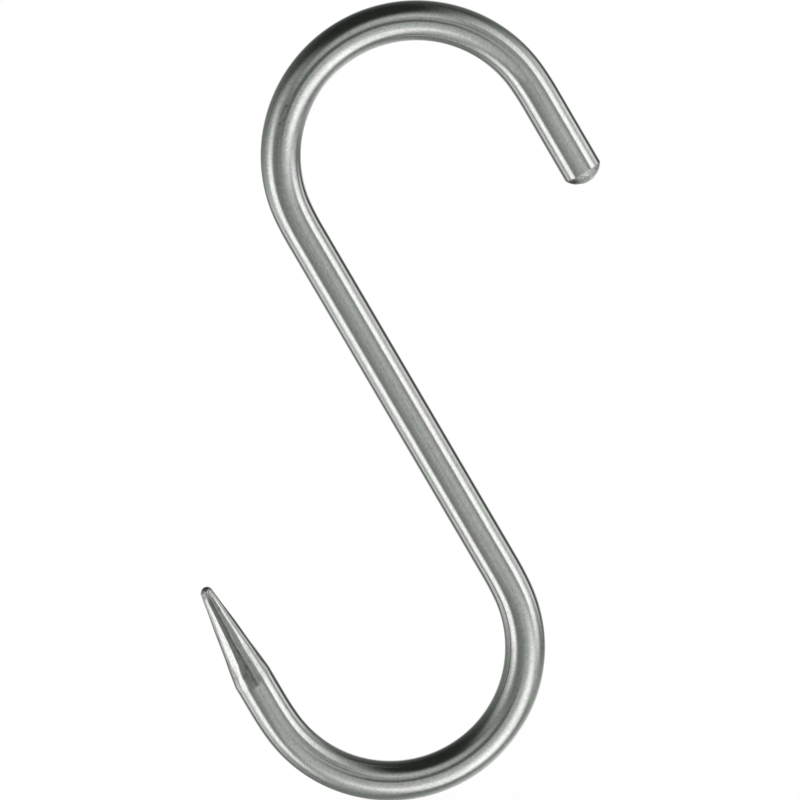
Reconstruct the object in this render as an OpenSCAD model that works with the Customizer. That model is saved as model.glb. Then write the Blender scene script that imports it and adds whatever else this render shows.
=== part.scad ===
// S hook bent from one round bar.
// The upper bend hangs on a rail and ends in a plain leg with a rounded end.
// The lower bend carries the load and ends in a leg that is ground to a point.
// Both bends are half turns, so the two legs and the shank are parallel.
// The hook is drawn as it hangs: +Z is up, +X runs towards the plain leg, and the bar lies in the XZ plane.
// The origin is the rail seat, the highest point inside the upper bend.

/* [Bar] */
// Diameter of the round bar
bar_d = 8; // [6:0.5:14]

/* [Bends] */
// Inside radius of the upper bend, which hangs on the rail
upper_inside_r = 22.85; // [12:0.05:50]
// Inside radius of the lower bend, which carries the load
lower_inside_r = 22.7; // [12:0.05:50]

/* [Straight runs] */
// Length of the straight shank between the bends
shank_l = 82.75; // [30:0.05:200]
// Length of the plain leg, from its bend to the top of its domed end
plain_leg_l = 21.95; // [8:0.05:60]
// Length of the pointed leg, from its bend to the start of the taper
point_leg_l = 9; // [3:0.1:40]

/* [Ground point] */
// Length of the taper, rounded tip included
point_l = 20.4; // [12:0.1:60]
// Radius of the rounded tip
tip_r = 1.3; // [0.3:0.05:2]
// Angle by which the taper leans in towards the shank
point_lean = 2.2; // [0:0.1:4]
// Distance that the taper's axis lies behind the bar's axis
point_set_back = 0.25; // [0:0.05:0.5]

/* [Plain end] */
// Height of the domed end
dome_l = 2.35; // [0.5:0.05:3.5]

/* [Hanging attitude] */
// Lean of the shank from the vertical
shank_lean = 30.1; // [0:0.1:60]

/* [Hidden] */
$fn = 96;

bar_r = bar_d / 2;
upper_bend_r = upper_inside_r + bar_r;
lower_bend_r = lower_inside_r + bar_r;

// Straight piece of bar from the origin along +Y
module straight(length) {
    rotate([-90, 0, 0])
        cylinder(r = bar_r, h = length);
}

// Half-turn bend that leaves the origin along +Y and turns towards +X, with the leg that follows it
module bend_with_leg(radius) {
    translate([radius, 0, 0])
        rotate_extrude(angle = 180)
            translate([radius, 0])
                circle(r = bar_r);
    translate([2 * radius, 0, 0])
        rotate([0, 0, 180])
            children();
}

// Leg along +Y that ends in a low dome
module plain_leg() {
    rim = plain_leg_l - dome_l;
    dome_r = (pow(bar_r, 2) + pow(dome_l, 2)) / (2 * dome_l);
    straight(rim);
    rotate([-90, 0, 0])
        rotate_extrude()
            intersection() {
                translate([0, plain_leg_l - dome_r])
                    circle(r = dome_r);
                translate([0, rim])
                    square([bar_d, dome_l]);
            }
}

// The form that the point is ground to: a cone along +Y that is as wide as the bar at the origin
// and ends in a rounded tip. Behind the origin it goes on widening, clear of the bar.
module ground_form() {
    tip_centre = point_l - tip_r;
    slope = (bar_r - tip_r) / tip_centre;
    run_up = point_leg_l + bar_d;
    profile = [
        [0, -run_up],
        [bar_r + slope * run_up, -run_up],
        [tip_r, tip_centre],
        [0, tip_centre]
    ];
    rotate([-90, 0, 0])
        rotate_extrude() {
            polygon(profile);
            translate([0, tip_centre])
                intersection() {
                    circle(r = tip_r);
                    square(tip_r);
                }
        }
}

// Leg along +Y that is ground to a leaning point, which leaves a slanted edge round the bar
module pointed_leg() {
    blank_l = point_leg_l + point_l + tip_r;
    intersection() {
        straight(blank_l);
        translate([0, point_leg_l, -point_set_back])
            rotate([0, 0, -point_lean])
                ground_form();
    }
}

// The whole bar with its shank upright, from the lower end of the shank at the origin
module bent_bar() {
    straight(shank_l);
    translate([0, shank_l, 0])
        bend_with_leg(upper_bend_r)
            plain_leg();
    rotate([0, 0, 180])
        bend_with_leg(lower_bend_r)
            pointed_leg();
}

// The bar turned to its hanging attitude about the centre of the upper bend
module hook() {
    color("silver")
        translate([0, 0, -upper_inside_r])
            rotate([90, 0, 0])
                rotate([0, 0, shank_lean])
                    translate([-upper_bend_r, -shank_l, 0])
                        bent_bar();
}

hook();
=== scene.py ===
"""An S hook of polished steel bar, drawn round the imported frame, with its studio and camera."""

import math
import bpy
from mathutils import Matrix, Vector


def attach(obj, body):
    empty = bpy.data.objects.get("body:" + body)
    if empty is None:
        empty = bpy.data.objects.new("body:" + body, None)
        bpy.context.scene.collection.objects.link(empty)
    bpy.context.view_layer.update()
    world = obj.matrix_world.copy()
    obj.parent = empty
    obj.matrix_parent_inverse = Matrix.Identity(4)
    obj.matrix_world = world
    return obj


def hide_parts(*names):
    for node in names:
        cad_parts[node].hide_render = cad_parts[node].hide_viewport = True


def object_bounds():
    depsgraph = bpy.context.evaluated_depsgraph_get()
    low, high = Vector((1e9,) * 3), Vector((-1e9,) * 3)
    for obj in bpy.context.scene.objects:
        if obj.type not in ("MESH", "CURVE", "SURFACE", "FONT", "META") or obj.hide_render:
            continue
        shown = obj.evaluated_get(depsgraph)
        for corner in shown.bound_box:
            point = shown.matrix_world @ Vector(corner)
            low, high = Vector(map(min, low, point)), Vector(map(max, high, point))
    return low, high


bl_info = {
    "name": "S Hook",
    "version": (1, 0, 0),
    "blender": (4, 5, 0),
    "location": "View3D > Sidebar > S Hook",
    "description": "Makes an S hook bent from round steel bar, and a plain studio round it",
    "category": "Add Mesh",
}

import bmesh
import bpy
from bpy.props import FloatProperty, FloatVectorProperty, IntProperty, PointerProperty
from mathutils import Matrix, Vector, noise

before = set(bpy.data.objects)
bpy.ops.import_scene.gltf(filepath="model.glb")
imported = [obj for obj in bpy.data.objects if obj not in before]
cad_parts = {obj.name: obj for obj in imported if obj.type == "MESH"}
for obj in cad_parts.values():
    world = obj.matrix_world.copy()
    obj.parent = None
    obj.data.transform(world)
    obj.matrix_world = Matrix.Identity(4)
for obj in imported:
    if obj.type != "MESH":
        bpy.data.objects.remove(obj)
CAD_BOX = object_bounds()

FRONT = Vector((0.0, -1.0, 0.0))
# Vertex attributes that the steel's pattern follows: place on the straight bar, and how it is ground
BAR_PLACE, GROUND = "bar_place", "ground"

# How far a vertex may lie from the bar's middle, and past the end of a stretch in metres and radians
ACROSS, PAST_STRAIGHT, PAST_BEND = 0.006, 0.0002, 0.002

# Length of the faces along the shank, the legs, the bends and the taper
SHANK_STEP, LEG_STEP, BEND_STEP, TAPER_STEP = 0.0011, 0.0008, 0.00055, 0.00018
# Rings of faces on the domed end, behind its rim and on the rounded tip
DOME_RINGS, RIM_RINGS, TIP_RINGS = 26, 8, 14
RIM_STEP = 0.00004
# Rounding of the dome's rim, the slanted edge of the ground point and the edges of its flatter side
RIM_ROUND, EDGE_ROUND, FACET_ROUND = 0.0001, 0.00006, 0.00005

# How far the grinding reaches down the leg, and the length over which the flatter side comes in
GRIND_REACH, FACET_RUN = 0.003, 0.004
# Size and depth of the uneven grinding on the taper and its tip, and what the tip has lost all round
TAPER_WEAR, TIP_WEAR, TIP_LOSS = (0.0016, 0.00006), (0.0007, 0.00003), 0.00004
# Length over which each of them comes in
WEAR_RUN = 0.002
# How far the slanted edge is shifted on the right at the front, and over what length
EDGE_SHIFT, SHIFT_RUN = 0.0001, 0.004
# Coarse and fine size and depth of the uneven grinding on the domed end, the length over which it
# fades out at the rim, and how far behind the top the point lies that it goes in towards
DOME_WEAR, DOME_WEAR_FADE, DOME_WEAR_CENTRE = ((0.0013, 0.0001), (0.0005, 0.00003)), 0.00025, 0.0044

# Depth below the round bar at which the ground finish starts, and over what more depth it comes in
FINISH_DEPTH, FINISH_RUN = 0.00001, 0.00005
# How far before the tip the rough finish starts, and the length over which it comes in
ROUGH_REACH, ROUGH_RUN = 0.0028, 0.0014

# Least and most roughness where the steel is polished, ground and pitted
POLISHED_ROUGHNESS, GROUND_ROUGHNESS, PITTED_ROUGHNESS = (0.05, 0.11), (0.05, 0.13), (0.12, 0.3)
# Height that the relief counts in
RELIEF_UNIT = 0.001


class HookSizes(bpy.types.PropertyGroup):
    """Sizes of the bent bar, with the names that the solid model uses"""

    bar_diameter: FloatProperty(
        name="Bar Diameter", description="Diameter of the round bar",
        default=0.008, min=0.006, max=0.014, precision=4, unit="LENGTH",
    )
    upper_bend_radius: FloatProperty(
        name="Upper Bend", description="Radius of the upper bend at the middle of the bar",
        default=0.02685, min=0.016, precision=4, unit="LENGTH",
    )
    lower_bend_radius: FloatProperty(
        name="Lower Bend", description="Radius of the lower bend at the middle of the bar",
        default=0.0267, min=0.016, precision=4, unit="LENGTH",
    )
    shank_length: FloatProperty(
        name="Shank", description="Length of the shank between the two bends",
        default=0.08275, min=0.03, precision=4, unit="LENGTH",
    )
    plain_leg_length: FloatProperty(
        name="Plain Leg", description="Length of the plain leg, from its bend to the top of its domed end",
        default=0.02195, min=0.008, precision=4, unit="LENGTH",
    )
    pointed_leg_length: FloatProperty(
        name="Pointed Leg", description="Length of the pointed leg, from its bend to the taper",
        default=0.009, min=0.006, precision=4, unit="LENGTH",
    )
    point_length: FloatProperty(
        name="Taper", description="Length of the ground taper, rounded tip included",
        default=0.0204, min=0.012, precision=4, unit="LENGTH",
    )
    tip_radius: FloatProperty(
        name="Tip Radius", description="Radius of the rounded tip",
        default=0.0013, min=0.0003, precision=5, unit="LENGTH",
    )
    point_lean: FloatProperty(
        name="Taper Lean", description="Angle by which the taper leans in towards the shank",
        default=math.radians(2.2), min=0.0, subtype="ANGLE", unit="ROTATION",
    )
    point_set_back: FloatProperty(
        name="Taper Set Back", description="Distance of the taper's axis behind the bar's axis",
        default=0.00025, min=0.0, precision=5, unit="LENGTH",
    )
    facet_angle: FloatProperty(
        name="Facet Side", description="Where the taper is ground flatter, from the front round to the left",
        default=math.radians(37.0), subtype="ANGLE", unit="ROTATION",
    )
    facet_reach: FloatProperty(
        name="Facet Reach", description="Half the angle round the taper that the flatter side takes up",
        default=math.radians(15.0), min=0.0, max=math.radians(30.0), subtype="ANGLE", unit="ROTATION",
    )
    dome_height: FloatProperty(
        name="Dome Height", description="Height of the domed end",
        default=0.00235, min=0.0005, precision=5, unit="LENGTH",
    )
    shank_lean: FloatProperty(
        name="Shank Lean", description="Lean of the shank from the vertical as the hook hangs",
        default=math.radians(30.1), min=0.0, subtype="ANGLE", unit="ROTATION",
    )
    ease_radius: FloatProperty(
        name="Ease Radius", description="Radius of the soft run between a bend and a straight",
        default=0.06, min=0.04, precision=4, unit="LENGTH",
    )
    ease_angle: FloatProperty(
        name="Ease Angle", description="Angle of the soft run between a bend and a straight",
        default=math.radians(5.0), min=0.0, max=math.radians(20.0), subtype="ANGLE", unit="ROTATION",
    )
    segments: IntProperty(
        name="Segments", description="Number of faces round the bar",
        default=112, min=16, max=160,
    )


class HookFinish(bpy.types.PropertyGroup):
    """Colour and polish of the steel"""

    steel_colour: FloatVectorProperty(
        name="Steel", description="Colour of the polished steel",
        subtype="COLOR", size=3, min=0.0, max=1.0, default=(0.642, 0.666, 0.634),
    )
    dull_colour: FloatVectorProperty(
        name="Dull Steel", description="Colour of the warmer patches in the polish",
        subtype="COLOR", size=3, min=0.0, max=1.0, default=(0.65, 0.641, 0.643),
    )
    ground_colour: FloatVectorProperty(
        name="Ground Steel", description="Colour of the ground point",
        subtype="COLOR", size=3, min=0.0, max=1.0, default=(0.69, 0.7, 0.68),
    )
    burnt_colour: FloatVectorProperty(
        name="Burnt Steel", description="Colour of the darker blotches on the ground point and end",
        subtype="COLOR", size=3, min=0.0, max=1.0, default=(0.54, 0.54, 0.525),
    )
    streak_shade: FloatProperty(
        name="Streak Shade", description="How much the polishing lines darken and lighten the steel",
        default=0.24, min=0.0, max=0.5,
    )
    streak_depth: FloatProperty(
        name="Streak Depth", description="Depth of the polishing lines on the bar",
        default=0.0000026, min=0.0, precision=7, unit="LENGTH",
    )
    ground_depth: FloatProperty(
        name="Ground Depth", description="Depth of the grinding lines on the point",
        default=0.0000025, min=0.0, precision=7, unit="LENGTH",
    )
    rough_depth: FloatProperty(
        name="Rough Depth", description="Depth of the pits on the tip and the domed end",
        default=0.00016, min=0.0, precision=7, unit="LENGTH",
    )


class StudioSettings(bpy.types.PropertyGroup):
    """Camera, floor and light round the hook"""

    camera_distance: FloatProperty(
        name="Camera Distance", description="Distance from the camera to the hook",
        default=2.9745, min=0.5, precision=4, unit="LENGTH",
    )
    camera_side: FloatProperty(
        name="Camera Side", description="Angle of the camera to the right of square on",
        default=math.radians(-3.5), subtype="ANGLE", unit="ROTATION",
    )
    camera_height: FloatProperty(
        name="Camera Height", description="Angle of the camera above square on",
        default=math.radians(7.5), subtype="ANGLE", unit="ROTATION",
    )
    frame_width: FloatProperty(
        name="Frame Width", description="Width that the camera sees at the hook",
        default=0.15832, min=0.01, precision=5, unit="LENGTH",
    )
    frame_centre: FloatVectorProperty(
        name="Frame Centre", description="Point of the hook's plane in the middle of the frame",
        default=(-0.003108, 0.0, -0.071674), size=3, precision=6, unit="LENGTH",
    )
    floor_colour: FloatVectorProperty(
        name="Floor", description="Colour of the pale floor",
        subtype="COLOR", size=3, min=0.0, max=1.0, default=(0.85, 0.85, 0.85),
    )
    floor_drop: FloatProperty(
        name="Floor Drop", description="Height of the floor below the hook's lowest point",
        default=0.034, min=0.0, precision=4, unit="LENGTH",
    )
    floor_radius: FloatProperty(
        name="Floor Radius", description="Radius of the floor, past which it is white",
        default=0.26, min=0.1, unit="LENGTH",
    )


# ---------------------------------------------------------------- the bar's course

class Straight:
    """A straight stretch of the bar"""

    def __init__(self, start, heading, length, along):
        self.start, self.heading, self.length, self.along = start, heading, length, along
        self.forward = direction(heading)
        self.left = direction(heading + math.pi / 2)

    def end(self):
        return self.start + self.forward * self.length, self.heading

    def place(self, co):
        """(to the left, to the back, along the bar) of a point, or None outside this stretch"""
        offset = co - self.start
        on = offset.dot(self.forward)
        inside = -PAST_STRAIGHT <= on <= self.length + PAST_STRAIGHT
        if inside and abs(offset.dot(self.left)) < ACROSS:
            return Vector((offset.dot(self.left), co.y, self.along + on))
        return None


class Bend:
    """A stretch of the bar on a circle, to the left where turn is above zero"""

    def __init__(self, start, heading, radius, turn, along):
        self.start, self.heading, self.radius, self.turn, self.along = start, heading, radius, turn, along
        self.side = 1.0 if turn > 0 else -1.0
        self.centre = start + direction(heading + math.pi / 2) * self.side * radius
        self.length = abs(turn) * radius

    def end(self):
        back = self.start - self.centre
        back.rotate(Matrix.Rotation(-self.turn, 3, "Y"))
        return self.centre + back, self.heading + self.turn

    def place(self, co):
        offset = Vector((co.x - self.centre.x, 0.0, co.z - self.centre.z))
        begun = self.start - self.centre
        swept = math.atan2(begun.x * offset.z - begun.z * offset.x, begun.x * offset.x + begun.z * offset.z)
        swept = (swept * self.side) % (2 * math.pi)
        if swept > 2 * math.pi - PAST_BEND:
            swept -= 2 * math.pi
        if swept <= abs(self.turn) + PAST_BEND and abs(offset.length - self.radius) < ACROSS:
            return Vector((self.side * (self.radius - offset.length), co.y, self.along + swept * self.radius))
        return None


def direction(angle):
    """Unit vector in the plane of the hook, from +X round towards +Z"""
    return Vector((math.cos(angle), 0.0, math.sin(angle)))


def course_of(sizes):
    """The stretches of the bar from the plain end to the end of the blank for the point"""
    ease, ease_r = sizes.ease_angle, sizes.ease_radius
    heading = math.pi / 2 + sizes.shank_lean

    def tight(radius):
        return (radius - ease_r * (1 - math.cos(ease))) / math.cos(ease)

    def run_in(radius):
        return (ease_r - tight(radius)) * math.sin(ease)

    upper, lower = sizes.upper_bend_radius, sizes.lower_bend_radius
    upper_centre = Vector((0.0, 0.0, sizes.bar_diameter / 2 - upper))
    leg_foot = upper_centre - direction(heading + math.pi / 2) * upper
    position = leg_foot - direction(heading) * sizes.plain_leg_length
    plan = [
        ("straight", sizes.plain_leg_length - run_in(upper), 0.0),
        ("bend", ease_r, ease),
        ("bend", tight(upper), math.pi - 2 * ease),
        ("bend", ease_r, ease),
        ("straight", sizes.shank_length - run_in(upper) - run_in(lower), 0.0),
        ("bend", ease_r, -ease),
        ("bend", tight(lower), 2 * ease - math.pi),
        ("bend", ease_r, -ease),
        ("straight", sizes.pointed_leg_length - run_in(lower) + sizes.point_length, 0.0),
    ]
    course, along = [], 0.0
    for kind, size, turn in plan:
        if kind == "straight":
            stretch = Straight(position, heading, size, along)
        else:
            stretch = Bend(position, heading, size, turn, along)
        course.append(stretch)
        along += stretch.length
        position, heading = stretch.end()
    return course


# ---------------------------------------------------------------- the bar's mesh

def is_vert(element):
    return isinstance(element, bmesh.types.BMVert)


def is_edge(element):
    return isinstance(element, bmesh.types.BMEdge)


def grow_ring(bm, ring, step, scale=1.0):
    """Extrudes the ring of edges by a step and scales it about its own centre, and gives the new ring"""
    geom = bmesh.ops.extrude_edge_only(bm, edges=ring)["geom"]
    verts = [g for g in geom if is_vert(g)]
    new = set(verts)
    bmesh.ops.translate(bm, verts=verts, vec=step)
    if scale != 1.0:
        centre = sum((v.co for v in verts), Vector()) / len(verts)
        bmesh.ops.scale(bm, verts=verts, vec=(scale,) * 3, space=Matrix.Translation(-centre))
    return [g for g in geom if is_edge(g) and g.verts[0] in new and g.verts[1] in new]


def ring_verts(ring):
    """The vertices of the ring's edges, each once and in the same order each run"""
    return list(dict.fromkeys(v for e in ring for v in e.verts))


def spin_ring(bm, ring, bend, steps):
    geom = bmesh.ops.spin(
        bm, geom=ring_verts(ring) + ring, cent=bend.centre, axis=FRONT, angle=bend.turn,
        steps=steps, use_merge=False, use_duplicate=False,
    )["geom_last"]
    return [g for g in geom if is_edge(g)]


def ray_to_circle(origin, ray, centre, radius):
    """Distance from a point inside a circle to the circle along the ray"""
    gap = centre - origin
    on = gap.dot(ray)
    return on + math.sqrt(max(on * on + radius * radius - gap.length_squared, 0.0))


def soft_least(a, b, blend):
    """The lesser of two lengths, rounded over where they are about equal"""
    part = max(blend - abs(a - b), 0.0) / blend
    return min(a, b) - part * part * blend / 4


def clamped(value):
    return min(max(value, 0.0), 1.0)


def uneven(place, size, depth):
    """Deterministic unevenness of the given size and depth"""
    return noise.noise(place / size) * depth


def end_radius(sizes, behind):
    """Radius of the plain end at a distance behind the top of its dome, its rim a little rounded"""
    bar_r = sizes.bar_diameter / 2
    dome_r = (bar_r ** 2 + sizes.dome_height ** 2) / (2 * sizes.dome_height)
    dome = math.sqrt(dome_r ** 2 - max(dome_r - behind, 0.0) ** 2)
    return soft_least(dome, bar_r, RIM_ROUND)


def plain_end(bm, sizes, leg):
    """Domed end as far as the full bar, with the ring there and its distance behind the dome's top"""
    square = Matrix((leg.left, -FRONT, leg.forward)).transposed().to_4x4()
    square.translation = leg.start
    behind = 0.000002
    radius = end_radius(sizes, behind)
    made = bmesh.ops.create_circle(bm, cap_ends=True, segments=sizes.segments, radius=radius, matrix=square)
    ring = list(dict.fromkeys(e for v in made["verts"] for e in v.link_edges))
    bmesh.ops.poke(bm, faces=bm.faces)
    stops = [sizes.dome_height * (i / DOME_RINGS) ** 2 for i in range(2, DOME_RINGS + 1)]
    stops += [sizes.dome_height + step * RIM_STEP for step in range(1, RIM_RINGS + 1)]
    for stop in stops:
        wider = end_radius(sizes, stop)
        ring = grow_ring(bm, ring, leg.forward * (stop - behind), wider / radius)
        behind, radius = stop, wider
    return ring, behind


def blank_bar(bm, sizes, course):
    """The bent bar at full width, from the plain end to the ring at the end of the blank"""
    leg = course[0]
    ring, made = plain_end(bm, sizes, leg)
    for step in spaced(leg.length - made, LEG_STEP):
        ring = grow_ring(bm, ring, leg.forward * step)
    for stretch in course[1:-1]:
        if isinstance(stretch, Bend):
            ring = spin_ring(bm, ring, stretch, max(4, round(stretch.length / BEND_STEP)))
        else:
            for step in spaced(stretch.length, SHANK_STEP):
                ring = grow_ring(bm, ring, stretch.forward * step)
    leg = course[-1]
    run_up = leg.length - sizes.point_length
    for step in spaced(run_up - GRIND_REACH, LEG_STEP):
        ring = grow_ring(bm, ring, leg.forward * step)
    for step in spaced(GRIND_REACH + sizes.point_length - sizes.tip_radius, TAPER_STEP):
        ring = grow_ring(bm, ring, leg.forward * step)
    last = 0.0
    for i in range(1, TIP_RINGS + 1):
        on = sizes.tip_radius * math.sin(math.pi / 2 * i / TIP_RINGS)
        ring = grow_ring(bm, ring, leg.forward * (on - last))
        last = on
    return ring


def spaced(length, about):
    """Equal steps of about the given size that make up the length"""
    count = max(1, round(length / about))
    return [length / count] * count


def grind_point(bm, sizes, leg, ring):
    """Moves the end of the blank in to the leaning taper with its rounded tip"""
    bar_r, tip_r = sizes.bar_diameter / 2, sizes.tip_radius
    start = leg.length - sizes.point_length
    tip_centre = sizes.point_length - tip_r
    slope = (bar_r - tip_r) / tip_centre
    lean = math.tan(sizes.point_lean)
    facet = Vector((math.sin(sizes.facet_angle), -math.cos(sizes.facet_angle)))
    for v in bm.verts:
        place = leg.place(v.co)
        if place is None:
            continue
        on = place.z - leg.along - start
        if on < -GRIND_REACH:
            continue
        spoke = Vector((place.x, place.y)).normalized()
        middle = Vector((-lean * on, sizes.point_set_back))
        from_ = middle * clamped((on + GRIND_REACH) / GRIND_REACH)
        if on <= tip_centre:
            cone_r = bar_r - slope * on
        else:
            cone_r = math.sqrt(max(tip_r ** 2 - (on - tip_centre) ** 2, 0.0))
        long_waves = Vector((spoke.x * 0.003, spoke.y * 0.003, on * 0.35))
        short_waves = Vector((spoke.x * 0.001, spoke.y * 0.001, on * 1.4))
        at_tip = clamped((on - tip_centre + WEAR_RUN) / WEAR_RUN)
        worn = uneven(long_waves, *TAPER_WEAR) * clamped(on / WEAR_RUN)
        worn += uneven(short_waves, *TIP_WEAR) * at_tip
        worn -= TIP_LOSS * at_tip
        ground = ray_to_circle(from_, spoke, middle, max(cone_r + worn * min(1.0, cone_r / tip_r), 0.0))
        right_front = max(spoke.dot(Vector((-0.57, -0.82))), 0.0) ** 2
        ground += EDGE_SHIFT * right_front * clamped(1 - on / SHIFT_RUN)
        facing = facet.dot(spoke)
        if facing > 0.2:
            cut = math.cos(sizes.facet_reach * clamped(on / FACET_RUN))
            plane = (cone_r + worn) * cut - (from_ - middle).dot(facet)
            ground = soft_least(ground, plane / facing, FACET_ROUND)
        full = ray_to_circle(from_, spoke, Vector((0.0, 0.0)), bar_r)
        reach = soft_least(ground, full, EDGE_ROUND)
        flat = from_ + spoke * reach
        v.co = leg.start + leg.left * flat.x + leg.forward * (start + on) + Vector((0.0, flat.y, 0.0))
    verts = ring_verts(ring)
    apex = sum((v.co for v in verts), Vector()) / len(verts)
    bmesh.ops.pointmerge(bm, verts=verts, merge_co=apex)


def roughen_plain_end(bm, sizes, leg):
    """Uneven hand grinding of the domed end"""
    coarse, fine = DOME_WEAR
    for v in bm.verts:
        place = leg.place(v.co)
        if place is None or place.z > sizes.dome_height:
            continue
        fade = min((sizes.dome_height - place.z) / DOME_WEAR_FADE, 1.0)
        inward = (leg.start + leg.forward * DOME_WEAR_CENTRE - v.co).normalized()
        depth = uneven(place, *coarse) + uneven(place + Vector((0.01, 0.0, 0.0)), *fine)
        v.co += inward * (abs(depth) * fade)


def write_places(bm, sizes, course):
    """Stores each vertex's place on the straight bar, and how it is ground: 1 smooth, 2 rough"""
    place_layer = bm.verts.layers.float_vector.new(BAR_PLACE)
    ground_layer = bm.verts.layers.float.new(GROUND)
    tip = course[-1].along + course[-1].length
    taper = tip - sizes.point_length
    bar_r = sizes.bar_diameter / 2
    for v in bm.verts:
        place = next((p for p in (stretch.place(v.co) for stretch in course) if p is not None), None)
        if place is None:
            raise RuntimeError("a vertex of the bar lies off its course")
        v[place_layer] = place
        depth = bar_r - math.hypot(place.x, place.y)
        if place.z > taper - GRIND_REACH:
            at_tip = clamped((place.z - tip + ROUGH_REACH) / ROUGH_RUN)
            v[ground_layer] = clamped((depth - FINISH_DEPTH) / FINISH_RUN) + at_tip
        elif place.z < sizes.dome_height + 0.00001:
            v[ground_layer] = 2.0
        else:
            v[ground_layer] = 0.0


# ---------------------------------------------------------------- shader nodes

# Marks on the steel. Each has its place (to the left, to the back and along the bar), its half size
# and how much darker it is, which is below 0 where the steel is brighter. The nicks, specks and burns
# are dark marks of the steel itself; the rest are painted highlights and painted shade in its colour.
MARKS = (
    ("nick_1", (-0.00104, -0.00386, 0.0817), (0.00045, 0.001, 0.0005), 0.45),
    ("nick_2", (-0.0013, -0.00378, 0.08265), (0.00025, 0.001, 0.0009), 0.35),
    ("nick_3", (-0.00143, -0.00373, 0.0838), (0.00022, 0.001, 0.0008), 0.3),
    ("nick_4", (-0.00076, -0.00393, 0.08445), (0.0002, 0.001, 0.001), 0.3),
    ("nick_5", (-0.00117, -0.00383, 0.0854), (0.00035, 0.001, 0.0004), 0.45),
    # Painted shade on one side of the domed end and a painted highlight on its other side, standing in for
    # what the dome reflects
    ("painted_shade_on_dome", (0.0031, -0.0022, 0.0014), (0.0021, 0.004, 0.00125), 0.88),
    ("painted_highlight_on_dome", (-0.001, -0.0035, 0.00175), (0.0016, 0.002, 0.0007), -0.22),
    ("speck_on_tip", (-0.00015, -0.0008, 0.3008), (0.0004, 0.001, 0.0004), 0.35),
    ("speck_by_tip", (0.0002, -0.0009, 0.2998), (0.00035, 0.001, 0.0006), 0.5),
    # Painted highlights along the legs, the shank and the taper, standing in for lighter reflections
    ("painted_highlight_on_plain_leg", (-0.0035, -0.0019, 0.011), (0.0011, 0.002, 0.012), -0.2),
    ("painted_highlight_on_shank", (-0.0036, -0.0018, 0.125), (0.0009, 0.002, 0.035), -0.15),
    ("painted_highlight_on_pointed_leg", (0.0036, -0.0018, 0.279), (0.001, 0.0025, 0.009), -0.25),
    ("painted_highlight_on_plain_leg_front", (0.0002, -0.0039, 0.009), (0.0019, 0.002, 0.014), -0.14),
    ("painted_highlight_near_tip", (-0.00035, -0.0024, 0.2909), (0.0006, 0.001, 0.0019), -0.22),
    ("painted_highlight_on_taper", (-0.00015, -0.0031, 0.28545), (0.0006, 0.001, 0.001), -0.22),
    ("painted_highlight_by_edge", (0.00005, -0.0039, 0.2802), (0.0007, 0.001, 0.0019), -0.3),
    ("burn_near_tip", (-0.0005, -0.0018, 0.29495), (0.0004, 0.001, 0.0016), 0.2),
    ("burn_on_taper", (-0.0002, -0.0029, 0.2874), (0.0003, 0.001, 0.0008), 0.32),
    ("burn_by_edge", (-0.0001, -0.0034, 0.28395), (0.0003, 0.001, 0.0008), 0.32),
)


def add_node(tree, kind, at, **values):
    """Adds a node and sets its settings and its unlinked inputs by name"""
    node = tree.nodes.new(kind)
    node.location = at
    for key, value in values.items():
        if hasattr(node, key):
            setattr(node, key, value)
        else:
            node.inputs[key.replace("_", " ").title()].default_value = value
    return node


def empty_tree(owner):
    """Turns on the nodes of a material or a world, and clears them"""
    owner.use_nodes = True
    owner.node_tree.nodes.clear()
    return owner.node_tree


def new_group(name, inputs, outputs):
    tree = bpy.data.node_groups.new(name, "ShaderNodeTree")
    for label, kind in inputs:
        tree.interface.new_socket(label, in_out="INPUT", socket_type=kind)
    for label, kind in outputs:
        tree.interface.new_socket(label, in_out="OUTPUT", socket_type=kind)
    return tree, add_node(tree, "NodeGroupInput", (-900, 0)), add_node(tree, "NodeGroupOutput", (900, 0))


def place_group(tree, group, at, **values):
    node = add_node(tree, "ShaderNodeGroup", at)
    node.node_tree = group
    for key, value in values.items():
        node.inputs[key].default_value = value
    return node


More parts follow.
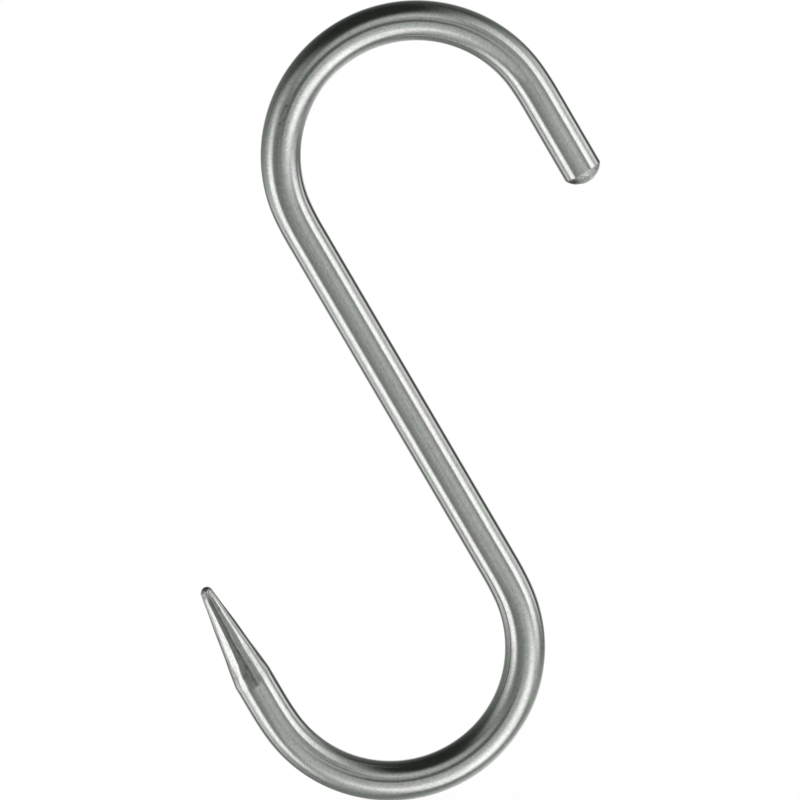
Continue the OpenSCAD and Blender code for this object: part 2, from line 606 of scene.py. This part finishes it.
def grain_group():
    """Lines along the bar or slanting round it, as fine as asked, and soft patches"""
    tree, into, out = new_group(
        "bar_grain",
        [("Place", "NodeSocketVector"), ("Twist", "NodeSocketFloat"), ("Line Width", "NodeSocketFloat"),
         ("Line Length", "NodeSocketFloat"), ("Patch Size", "NodeSocketFloat")],
        [("Lines", "NodeSocketFloat"), ("Patches", "NodeSocketFloat")],
    )
    link = tree.links.new
    parts = add_node(tree, "ShaderNodeSeparateXYZ", (-1300, -100))
    link(into.outputs["Place"], parts.inputs[0])
    angle = add_node(tree, "ShaderNodeMath", (-1100, -100), operation="MULTIPLY")
    link(parts.outputs["Z"], angle.inputs[0])
    link(into.outputs["Twist"], angle.inputs[1])
    turned = add_node(tree, "ShaderNodeVectorRotate", (-900, 0), rotation_type="Z_AXIS")
    link(into.outputs["Place"], turned.inputs["Vector"])
    link(angle.outputs[0], turned.inputs["Angle"])
    size = add_node(tree, "ShaderNodeCombineXYZ", (-700, -200))
    link(into.outputs["Line Width"], size.inputs["X"])
    link(into.outputs["Line Width"], size.inputs["Y"])
    link(into.outputs["Line Length"], size.inputs["Z"])
    scaled = add_node(tree, "ShaderNodeVectorMath", (-500, 0), operation="DIVIDE")
    link(turned.outputs[0], scaled.inputs[0])
    link(size.outputs[0], scaled.inputs[1])
    lines = add_node(tree, "ShaderNodeTexNoise", (-300, 100), scale=1.0, detail=3.0, roughness=0.6)
    link(scaled.outputs[0], lines.inputs["Vector"])
    spread = add_node(tree, "ShaderNodeCombineXYZ", (-700, -450))
    link(into.outputs["Patch Size"], spread.inputs["X"])
    link(into.outputs["Patch Size"], spread.inputs["Y"])
    longer = add_node(tree, "ShaderNodeMath", (-900, -550), operation="MULTIPLY")
    longer.inputs[1].default_value = 2.0
    link(into.outputs["Patch Size"], longer.inputs[0])
    link(longer.outputs[0], spread.inputs["Z"])
    squeezed = add_node(tree, "ShaderNodeVectorMath", (-500, -300), operation="DIVIDE")
    link(into.outputs["Place"], squeezed.inputs[0])
    link(spread.outputs[0], squeezed.inputs[1])
    patches = add_node(tree, "ShaderNodeTexNoise", (-300, -300), scale=1.0, detail=4.0, roughness=0.62)
    link(squeezed.outputs[0], patches.inputs["Vector"])
    link(lines.outputs["Fac"], out.inputs["Lines"])
    link(patches.outputs["Fac"], out.inputs["Patches"])
    return tree


def ranged(tree, value, at, start, stop, low=0.0, high=1.0, soft=False):
    """Maps a value from start..stop to low..high"""
    node = add_node(tree, "ShaderNodeMapRange", at)
    if soft:
        node.interpolation_type = "SMOOTHSTEP"
    for label, number in (("From Min", start), ("From Max", stop), ("To Min", low), ("To Max", high)):
        node.inputs[label].default_value = number
    tree.links.new(value, node.inputs["Value"])
    return node.outputs[0]


def blend_colours(tree, part, first, second, at):
    """Mixes two colours, each a socket or a value"""
    node = add_node(tree, "ShaderNodeMix", at, data_type="RGBA")
    tree.links.new(part, node.inputs[0])
    for label, colour in (("A", first), ("B", second)):
        if isinstance(colour, bpy.types.NodeSocket):
            tree.links.new(colour, colour_input(node, label))
        else:
            set_socket(node, label, (*colour, 1.0))
    return colour_output(node)


def blend_values(tree, part, first, second, at):
    """Mixes two numbers"""
    node = add_node(tree, "ShaderNodeMix", at, data_type="FLOAT")
    tree.links.new(part, node.inputs[0])
    tree.links.new(first, node.inputs[2])
    tree.links.new(second, node.inputs[3])
    return node.outputs[0]


def times(tree, value, factor, at):
    node = add_node(tree, "ShaderNodeMath", at, operation="MULTIPLY")
    node.inputs[1].default_value = factor
    tree.links.new(value, node.inputs[0])
    return node.outputs[0]


def shaded(tree, colour, shade, at):
    """Multiplies a colour by a number"""
    node = add_node(tree, "ShaderNodeMix", at, data_type="RGBA", blend_type="MULTIPLY")
    node.inputs[0].default_value = 1.0
    tree.links.new(colour, colour_input(node, "A"))
    tree.links.new(shade, colour_input(node, "B"))
    return colour_output(node)


def marks(tree, place):
    """How much darker the steel is in its marks and painted shade, below 0 where a painted highlight makes it
    brighter, and 0 elsewhere
    """
    group, into, out = new_group(
        "mark",
        [("Place", "NodeSocketVector"), ("Others", "NodeSocketFloat"),
         ("Middle", "NodeSocketVector"), ("Half Size", "NodeSocketVector"), ("Depth", "NodeSocketFloat")],
        [("Darker", "NodeSocketFloat")],
    )
    link = group.links.new
    mapped = add_node(group, "ShaderNodeMapping", (-600, 100), vector_type="TEXTURE")
    link(into.outputs["Place"], mapped.inputs["Vector"])
    link(into.outputs["Middle"], mapped.inputs["Location"])
    link(into.outputs["Half Size"], mapped.inputs["Scale"])
    away = add_node(group, "ShaderNodeVectorMath", (-400, 100), operation="LENGTH")
    link(mapped.outputs[0], away.inputs[0])
    inside = ranged(group, away.outputs["Value"], (-200, 100), 0.2, 1.0, 1.0, 0.0, soft=True)
    deep = add_node(group, "ShaderNodeMath", (0, 100), operation="MULTIPLY")
    link(inside, deep.inputs[0])
    link(into.outputs["Depth"], deep.inputs[1])
    both = add_node(group, "ShaderNodeMath", (200, 0), operation="ADD")
    link(deep.outputs[0], both.inputs[0])
    link(into.outputs["Others"], both.inputs[1])
    link(both.outputs[0], out.inputs["Darker"])
    found = None
    for i, (name, middle, half, depth) in enumerate(MARKS):
        node = place_group(
            tree, group, (-600 + 220 * i, 1100), **{"Middle": middle, "Half Size": half, "Depth": depth},
        )
        node.label = name
        tree.links.new(place, node.inputs["Place"])
        if found is not None:
            tree.links.new(found, node.inputs["Others"])
        found = node.outputs["Darker"]
    return found


def steel_material(finish):
    """Polished steel with fine streaks, duller patches, nicks, painted highlights and painted shade, a ground
    point, and a rough tip and end
    """
    material = bpy.data.materials.new("polished_steel")
    tree = empty_tree(material)
    link = tree.links.new
    out = add_node(tree, "ShaderNodeOutputMaterial", (1300, 0))
    shader = add_node(tree, "ShaderNodeBsdfPrincipled", (1000, 0), metallic=1.0)
    link(shader.outputs[0], out.inputs["Surface"])
    place = add_node(tree, "ShaderNodeAttribute", (-1500, 0), attribute_name=BAR_PLACE)
    kind = add_node(tree, "ShaderNodeAttribute", (-1500, -500), attribute_name=GROUND)
    ground = ranged(tree, kind.outputs["Fac"], (-1200, -500), 0.0, 1.0)
    rough = ranged(tree, kind.outputs["Fac"], (-1200, -800), 1.0, 2.0)
    grain = grain_group()
    # Turns in radians a metre, then width and length of the lines and size of the patches
    sets = (
        ("along", 0.0, 0.00026, 0.0009, 0.0013), ("slanting", 300.0, 0.0004, 0.0005, 0.0009),
        ("grinding", 620.0, 0.0004, 0.002, 0.0011), ("pits", 0.0, 0.0003, 0.0004, 0.0007),
    )
    grains = {}
    for i, (name, twist, width, length, patch) in enumerate(sets):
        node = place_group(
            tree, grain, (-1200, 500 - 230 * i),
            **{"Twist": twist, "Line Width": width, "Line Length": length, "Patch Size": patch},
        )
        node.label = name
        link(place.outputs["Vector"], node.inputs["Place"])
        grains[name] = node.outputs

    dull = ranged(tree, grains["along"]["Patches"], (-900, 500), 0.44, 0.58, soft=True)
    polished = blend_colours(tree, dull, finish.steel_colour, finish.dull_colour, (-600, 500))
    blotch = ranged(tree, grains["grinding"]["Patches"], (-900, 250), 0.5, 0.66, soft=True)
    smooth_ground = blend_colours(tree, blotch, finish.ground_colour, finish.burnt_colour, (-600, 250))
    speck = ranged(tree, grains["pits"]["Patches"], (-900, 0), 0.42, 0.58, soft=True)
    rough_ground = blend_colours(tree, speck, finish.ground_colour, finish.burnt_colour, (-600, 0))
    colour = blend_colours(tree, ground, polished, smooth_ground, (-300, 300))
    colour = blend_colours(tree, rough, colour, rough_ground, (-50, 200))
    streaks = add_node(tree, "ShaderNodeMath", (-600, -1050), operation="MULTIPLY_ADD")
    streaks.inputs[1].default_value = 0.6
    link(grains["along"]["Lines"], streaks.inputs[0])
    link(grains["slanting"]["Lines"], streaks.inputs[2])
    lightest, darkest = 1 + finish.streak_shade, 1 - finish.streak_shade
    shade = ranged(tree, streaks.outputs[0], (-300, 800), 0.5, 1.1, darkest, lightest)
    colour = shaded(tree, colour, shade, (200, 200))
    # Nicks, specks and burns darken the colour; painted highlights and painted shade stand in for reflections
    darker = marks(tree, place.outputs["Vector"])
    left_over = add_node(tree, "ShaderNodeMath", (300, 700), operation="SUBTRACT")
    left_over.inputs[0].default_value = 1.0
    link(darker, left_over.inputs[1])
    colour = shaded(tree, colour, left_over.outputs[0], (450, 200))
    link(colour, shader.inputs["Base Color"])

    even = ranged(tree, grains["slanting"]["Patches"], (-600, -300), 0.3, 0.7, *POLISHED_ROUGHNESS)
    coarse = ranged(tree, grains["grinding"]["Lines"], (-600, -550), 0.3, 0.7, *GROUND_ROUGHNESS)
    roughness = blend_values(tree, ground, even, coarse, (-300, -300))
    pitted = ranged(tree, grains["pits"]["Lines"], (-600, -800), 0.3, 0.7, *PITTED_ROUGHNESS)
    roughness = blend_values(tree, rough, roughness, pitted, (-50, -300))
    link(roughness, shader.inputs["Roughness"])

    height = times(tree, streaks.outputs[0], finish.streak_depth / RELIEF_UNIT, (-300, -1050))
    lines = times(tree, grains["grinding"]["Lines"], finish.ground_depth / RELIEF_UNIT, (-300, -1250))
    pits = times(tree, grains["pits"]["Lines"], finish.rough_depth / RELIEF_UNIT, (-300, -1450))
    height = blend_values(tree, ground, height, lines, (0, -1050))
    height = blend_values(tree, rough, height, pits, (250, -1050))
    bump = add_node(tree, "ShaderNodeBump", (600, -600))
    bump.inputs["Strength"].default_value = 1.0
    bump.inputs["Distance"].default_value = RELIEF_UNIT
    link(height, bump.inputs["Height"])
    link(bump.outputs[0], shader.inputs["Normal"])
    return material


def colour_input(node, label):
    return next(s for s in node.inputs if s.name == label and s.type == "RGBA")


def colour_output(node):
    return next(s for s in node.outputs if s.type == "RGBA")


def set_socket(node, label, value):
    colour_input(node, label).default_value = value


def new_object(name, bm, material):
    mesh = bpy.data.meshes.new(name)
    bm.to_mesh(mesh)
    bm.free()
    mesh.polygons.foreach_set("use_smooth", [True] * len(mesh.polygons))
    mesh.materials.append(material)
    obj = bpy.data.objects.new(name, mesh)
    bpy.context.scene.collection.objects.link(obj)
    return obj


# ---------------------------------------------------------------- the studio

# Soft panels that the steel mirrors, each as seen from the hook: place of its middle, half its
# width and height, and its turn, all in degrees, then its softness and its light. Places count
# from the way to the front, first to the right and then up. The last one lights the hook's back.
PANELS = (
    ("line_by_camera", (-11.5, -22.5), (18, 4), 43, 0.1, 0.46),
    ("above", (-1, 36), (25, 14), 35, 0.8, 1.7),
    ("lower_right", (24, -45), (31, 20), -1, 0.8, 1.7),
    ("glow_across", (-2, -43), (21, 35), -30, 1.0, 0.6),
    ("right", (35, -7), (57, 16), -27, 0.8, 0.62),
    ("upper_right", (42, 44), (22, 56), 37, 0.6, 1.7),
    ("left", (-59, -42), (12, 31), 37, 1.0, 1.67),
    ("dark_corner", (-24, 83), (90, 62), 5, 0.7, 0.03),
    ("lower_left", (-88, -74), (26, 46), 13, 1.0, 0.72),
    ("far_upper_right", (110, 27), (16, 45), 43, 1.0, 0.9),
    ("upper_right_edge", (125, 28), (11, 53), 10, 0.7, 0.04),
    ("upper_left", (-68, 10), (26, 19), 34, 1.0, 0.55),
    ("lower_left_edge", (-93, -90), (45, 9), -36, 1.0, 0.08),
    ("far_lower_right", (81, -119), (90, 32), 40, 1.0, 0.75),
    ("near_right", (43, -24), (13, 18), 40, 1.0, 1.4),
    ("camera", (-3, 3), (13, 9), 6, 0.4, 0.16),
    ("near_upper_right", (36, 21), (9, 26), 40, 0.6, 0.36),
    ("low", (10, -48), (17, 9), -21, 1.0, 1.2),
    ("left_middle", (-65, -25), (12, 26), 1, 1.0, 1.38),
    ("lower_left_line", (-77, -56), (4.5, 2.5), 7, 0.3, 0.4),
    ("low_behind", (103, -103), (20, 12), 47, 0.8, 1.1),
)
# Light of the bare wall, and of its part behind the hook, which comes in between two angles from
# the way to the front
ROOM_LIGHT, BACK_LIGHT = 0.25, 0.9
BACK_FROM, BACK_TO = 146.0, 166.0
# Tint of the wall where it is dark and where its light is 1
ROOM_TINT, PANEL_TINT = (0.92, 1.0, 0.915), (1.002, 1.0, 1.006)


def panel_group():
    """One soft-edged panel laid over the light of what is behind it"""
    tree, into, out = new_group(
        "studio_panel",
        [("Place", "NodeSocketVector"), ("Behind", "NodeSocketFloat"), ("Middle", "NodeSocketVector"),
         ("Turn", "NodeSocketVector"), ("Half Size", "NodeSocketVector"), ("Softness", "NodeSocketFloat"),
         ("Light", "NodeSocketFloat")],
        [("Light", "NodeSocketFloat")],
    )
    link = tree.links.new
    mapped = add_node(tree, "ShaderNodeMapping", (-600, 100), vector_type="TEXTURE")
    link(into.outputs["Place"], mapped.inputs["Vector"])
    link(into.outputs["Middle"], mapped.inputs["Location"])
    link(into.outputs["Turn"], mapped.inputs["Rotation"])
    link(into.outputs["Half Size"], mapped.inputs["Scale"])
    away = add_node(tree, "ShaderNodeVectorMath", (-400, 100), operation="LENGTH")
    link(mapped.outputs[0], away.inputs[0])
    inner = add_node(tree, "ShaderNodeMath", (-400, -100), operation="SUBTRACT")
    inner.inputs[0].default_value = 1.0
    link(into.outputs["Softness"], inner.inputs[1])
    outer = add_node(tree, "ShaderNodeMath", (-400, -300), operation="ADD")
    outer.inputs[0].default_value = 1.0
    link(into.outputs["Softness"], outer.inputs[1])
    mask = add_node(tree, "ShaderNodeMapRange", (-150, 0), interpolation_type="SMOOTHSTEP")
    mask.inputs["To Min"].default_value = 1.0
    mask.inputs["To Max"].default_value = 0.0
    link(away.outputs["Value"], mask.inputs["Value"])
    link(inner.outputs[0], mask.inputs["From Min"])
    link(outer.outputs[0], mask.inputs["From Max"])
    laid = add_node(tree, "ShaderNodeMix", (150, 0), data_type="FLOAT")
    link(mask.outputs[0], laid.inputs[0])
    link(into.outputs["Behind"], laid.inputs[2])
    link(into.outputs["Light"], laid.inputs[3])
    link(laid.outputs[0], out.inputs["Light"])
    return tree


def studio_wall_material():
    """Grey wall with soft panels on it, which only the steel's reflections show"""
    material = bpy.data.materials.new("studio_wall")
    tree = empty_tree(material)
    link = tree.links.new
    where = add_node(tree, "ShaderNodeTexCoord", (-1600, 0))
    unit = add_node(tree, "ShaderNodeVectorMath", (-1400, 0), operation="NORMALIZE")
    link(where.outputs["Object"], unit.inputs[0])
    parts = add_node(tree, "ShaderNodeSeparateXYZ", (-1200, 0))
    link(unit.outputs[0], parts.inputs[0])
    to_camera = add_node(tree, "ShaderNodeMath", (-1000, 100), operation="MULTIPLY")
    to_camera.inputs[1].default_value = -1.0
    link(parts.outputs["Y"], to_camera.inputs[0])
    angle = add_node(tree, "ShaderNodeMath", (-800, 100), operation="ARCCOSINE")
    link(to_camera.outputs[0], angle.inputs[0])
    degrees = add_node(tree, "ShaderNodeMath", (-600, 100), operation="DEGREES")
    link(angle.outputs[0], degrees.inputs[0])
    flat = add_node(tree, "ShaderNodeCombineXYZ", (-1000, -200))
    link(parts.outputs["X"], flat.inputs["X"])
    link(parts.outputs["Z"], flat.inputs["Y"])
    flat_unit = add_node(tree, "ShaderNodeVectorMath", (-800, -200), operation="NORMALIZE")
    link(flat.outputs[0], flat_unit.inputs[0])
    place = add_node(tree, "ShaderNodeVectorMath", (-400, -100), operation="SCALE")
    link(flat_unit.outputs[0], place.inputs[0])
    link(degrees.outputs[0], place.inputs["Scale"])

    light = add_node(tree, "ShaderNodeMapRange", (-400, 200), interpolation_type="SMOOTHSTEP")
    light.inputs["From Min"].default_value = BACK_FROM
    light.inputs["From Max"].default_value = BACK_TO
    light.inputs["To Min"].default_value = ROOM_LIGHT
    light.inputs["To Max"].default_value = BACK_LIGHT
    link(degrees.outputs[0], light.inputs["Value"])
    behind = light.outputs[0]
    group = panel_group()
    for i, (name, middle, half, turn, softness, level) in enumerate(PANELS):
        panel = place_group(
            tree, group, (-100 + 220 * i, 0),
            **{"Middle": (*middle, 0.0), "Turn": (0.0, 0.0, math.radians(turn)),
               "Half Size": (*half, 1.0), "Softness": softness, "Light": level},
        )
        panel.label = name
        link(place.outputs[0], panel.inputs["Place"])
        link(behind, panel.inputs["Behind"])
        behind = panel.outputs["Light"]
    glow = add_node(tree, "ShaderNodeEmission", (4900, 0))
    link(behind, glow.inputs["Strength"])
    tint = add_node(tree, "ShaderNodeMix", (4700, -200), data_type="RGBA")
    link(behind, tint.inputs[0])
    set_socket(tint, "A", (*ROOM_TINT, 1.0))
    set_socket(tint, "B", (*PANEL_TINT, 1.0))
    link(colour_output(tint), glow.inputs["Color"])
    out = add_node(tree, "ShaderNodeOutputMaterial", (5100, 0))
    link(glow.outputs[0], out.inputs["Surface"])
    return material


def seen_directly(tree, x, y):
    """1 for the camera, in reflections and through glass, and 0 for all other light"""
    path = add_node(tree, "ShaderNodeLightPath", (x, y))
    seen = path.outputs["Is Camera Ray"]
    for i, ray in enumerate(("Is Glossy Ray", "Is Transmission Ray"), 1):
        either = add_node(tree, "ShaderNodeMath", (x + 200 * i, y), operation="MAXIMUM")
        tree.links.new(seen, either.inputs[0])
        tree.links.new(path.outputs[ray], either.inputs[1])
        seen = either.outputs[0]
    return seen


def floor_material(studio):
    """Pale floor that keeps the hook's shadow and runs out to white for the camera"""
    material = bpy.data.materials.new("pale_floor")
    tree = empty_tree(material)
    link = tree.links.new
    where = add_node(tree, "ShaderNodeTexCoord", (-900, 0))
    flat = add_node(tree, "ShaderNodeVectorMath", (-700, 0), operation="MULTIPLY")
    flat.inputs[1].default_value = (1.0, 1.0, 0.0)
    link(where.outputs["Object"], flat.inputs[0])
    away = add_node(tree, "ShaderNodeVectorMath", (-500, 0), operation="LENGTH")
    link(flat.outputs[0], away.inputs[0])
    fade = add_node(tree, "ShaderNodeMapRange", (-300, 0), interpolation_type="SMOOTHSTEP")
    fade.inputs["From Min"].default_value = studio.floor_radius * 0.3
    fade.inputs["From Max"].default_value = studio.floor_radius * 0.92
    link(away.outputs["Value"], fade.inputs["Value"])
    white_part = add_node(tree, "ShaderNodeMath", (100, 150), operation="MULTIPLY")
    link(fade.outputs[0], white_part.inputs[0])
    link(seen_directly(tree, -500, 350), white_part.inputs[1])
    matt = add_node(tree, "ShaderNodeBsdfPrincipled", (100, -50), roughness=0.8)
    matt.inputs["Base Color"].default_value = (*studio.floor_colour, 1.0)
    matt.inputs["Specular IOR Level"].default_value = 0.2
    white = add_node(tree, "ShaderNodeEmission", (100, -500))
    blend = add_node(tree, "ShaderNodeMixShader", (500, 0))
    link(white_part.outputs[0], blend.inputs[0])
    link(matt.outputs[0], blend.inputs[1])
    link(white.outputs[0], blend.inputs[2])
    out = add_node(tree, "ShaderNodeOutputMaterial", (700, 0))
    link(blend.outputs[0], out.inputs["Surface"])
    return material


def white_world():
    """World that is white to the camera and in reflections, and a plain level of light elsewhere"""
    world = bpy.data.worlds.new("studio_white")
    tree = empty_tree(world)
    link = tree.links.new
    level = add_node(tree, "ShaderNodeMapRange", (-200, 0))
    level.inputs["To Min"].default_value = 0.8
    level.inputs["To Max"].default_value = 1.0
    link(seen_directly(tree, -800, 0), level.inputs["Value"])
    background = add_node(tree, "ShaderNodeBackground", (0, 0))
    background.inputs["Color"].default_value = (1.0, 1.0, 1.0, 1.0)
    link(level.outputs[0], background.inputs["Strength"])
    out = add_node(tree, "ShaderNodeOutputWorld", (200, 0))
    link(background.outputs[0], out.inputs["Surface"])
    return world


# ---------------------------------------------------------------- operators

class HOOK_OT_bar(bpy.types.Operator):
    """Make the bent steel bar with its ground point and domed end"""

    bl_idname = "s_hook.bar"
    bl_label = "Steel Bar"
    bl_options = {"REGISTER", "UNDO"}

    def execute(self, context):
        sizes, finish = context.scene.hook_sizes, context.scene.hook_finish
        course = course_of(sizes)
        bm = bmesh.new()
        ring = blank_bar(bm, sizes, course)
        grind_point(bm, sizes, course[-1], ring)
        roughen_plain_end(bm, sizes, course[0])
        bmesh.ops.remove_doubles(bm, verts=bm.verts, dist=1e-7)
        bmesh.ops.recalc_face_normals(bm, faces=bm.faces)
        write_places(bm, sizes, course)
        bar = new_object("steel_bar", bm, steel_material(finish))
        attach(bar, "root")
        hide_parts("hook")
        return {"FINISHED"}


class HOOK_OT_studio(bpy.types.Operator):
    """Set up the camera, the pale floor, the light and what the steel mirrors"""

    bl_idname = "s_hook.studio"
    bl_label = "Studio"
    bl_options = {"REGISTER", "UNDO"}

    def execute(self, context):
        scene = context.scene
        studio = scene.hook_studio
        scene.view_settings.view_transform = "Standard"
        scene.world = white_world()

        lens = bpy.data.cameras.new("camera")
        lens.sensor_width = 36.0
        lens.lens = lens.sensor_width * studio.camera_distance / studio.frame_width
        lens.clip_end = 100.0
        camera = bpy.data.objects.new("camera", lens)
        camera.rotation_euler = (math.pi / 2 - studio.camera_height, 0.0, studio.camera_side)
        away = Vector((0.0, 0.0, studio.camera_distance))
        away.rotate(camera.rotation_euler)
        camera.location = Vector(studio.frame_centre) + away
        scene.collection.objects.link(camera)
        scene.camera = camera

        lamp = bpy.data.lights.new("overhead_softbox", "AREA")
        lamp.shape = "DISK"
        lamp.size = 0.5
        lamp.energy = 0.9
        overhead = bpy.data.objects.new("overhead_softbox", lamp)
        overhead.location = (-0.15, -0.25, 0.75)
        aim = Vector((0.0, 0.0, -0.12)) - overhead.location
        overhead.rotation_euler = aim.to_track_quat("-Z", "Y").to_euler()
        overhead.visible_glossy = False
        scene.collection.objects.link(overhead)

        bm = bmesh.new()
        down = Matrix.Translation((0.0, 0.0, CAD_BOX[0][2] - studio.floor_drop))
        bmesh.ops.create_circle(bm, cap_ends=True, segments=128, radius=studio.floor_radius, matrix=down)
        floor = new_object("floor", bm, floor_material(studio))
        floor.visible_glossy = False

        bm = bmesh.new()
        bmesh.ops.create_uvsphere(bm, u_segments=96, v_segments=48, radius=20.0)
        bmesh.ops.reverse_faces(bm, faces=bm.faces)
        wall = new_object("studio_wall", bm, studio_wall_material())
        wall.visible_camera = False
        wall.visible_diffuse = False
        wall.visible_transmission = False
        wall.visible_shadow = False
        return {"FINISHED"}


class HOOK_PT_panel(bpy.types.Panel):
    """Lists the hook's sizes and finish and the studio's settings, with the buttons that make them"""

    bl_idname = "HOOK_PT_panel"
    bl_label = "S Hook"
    bl_space_type = "VIEW_3D"
    bl_region_type = "UI"
    bl_category = "S Hook"

    def draw(self, context):
        layout = self.layout
        layout.use_property_split = True
        for settings in (context.scene.hook_sizes, context.scene.hook_finish, context.scene.hook_studio):
            box = layout.box()
            for name in settings.__annotations__:
                box.prop(settings, name)
        layout.operator(HOOK_OT_bar.bl_idname)
        layout.operator(HOOK_OT_studio.bl_idname)


CLASSES = (HookSizes, HookFinish, StudioSettings, HOOK_OT_bar, HOOK_OT_studio, HOOK_PT_panel)


def register():
    for cls in CLASSES:
        bpy.utils.register_class(cls)
    bpy.types.Scene.hook_sizes = PointerProperty(type=HookSizes)
    bpy.types.Scene.hook_finish = PointerProperty(type=HookFinish)
    bpy.types.Scene.hook_studio = PointerProperty(type=StudioSettings)


def unregister():
    del bpy.types.Scene.hook_studio
    del bpy.types.Scene.hook_finish
    del bpy.types.Scene.hook_sizes
    for cls in reversed(CLASSES):
        bpy.utils.unregister_class(cls)


def main():
    register()
    bpy.ops.s_hook.studio()
    bpy.ops.s_hook.bar()


if __name__ == "__main__":
    main()
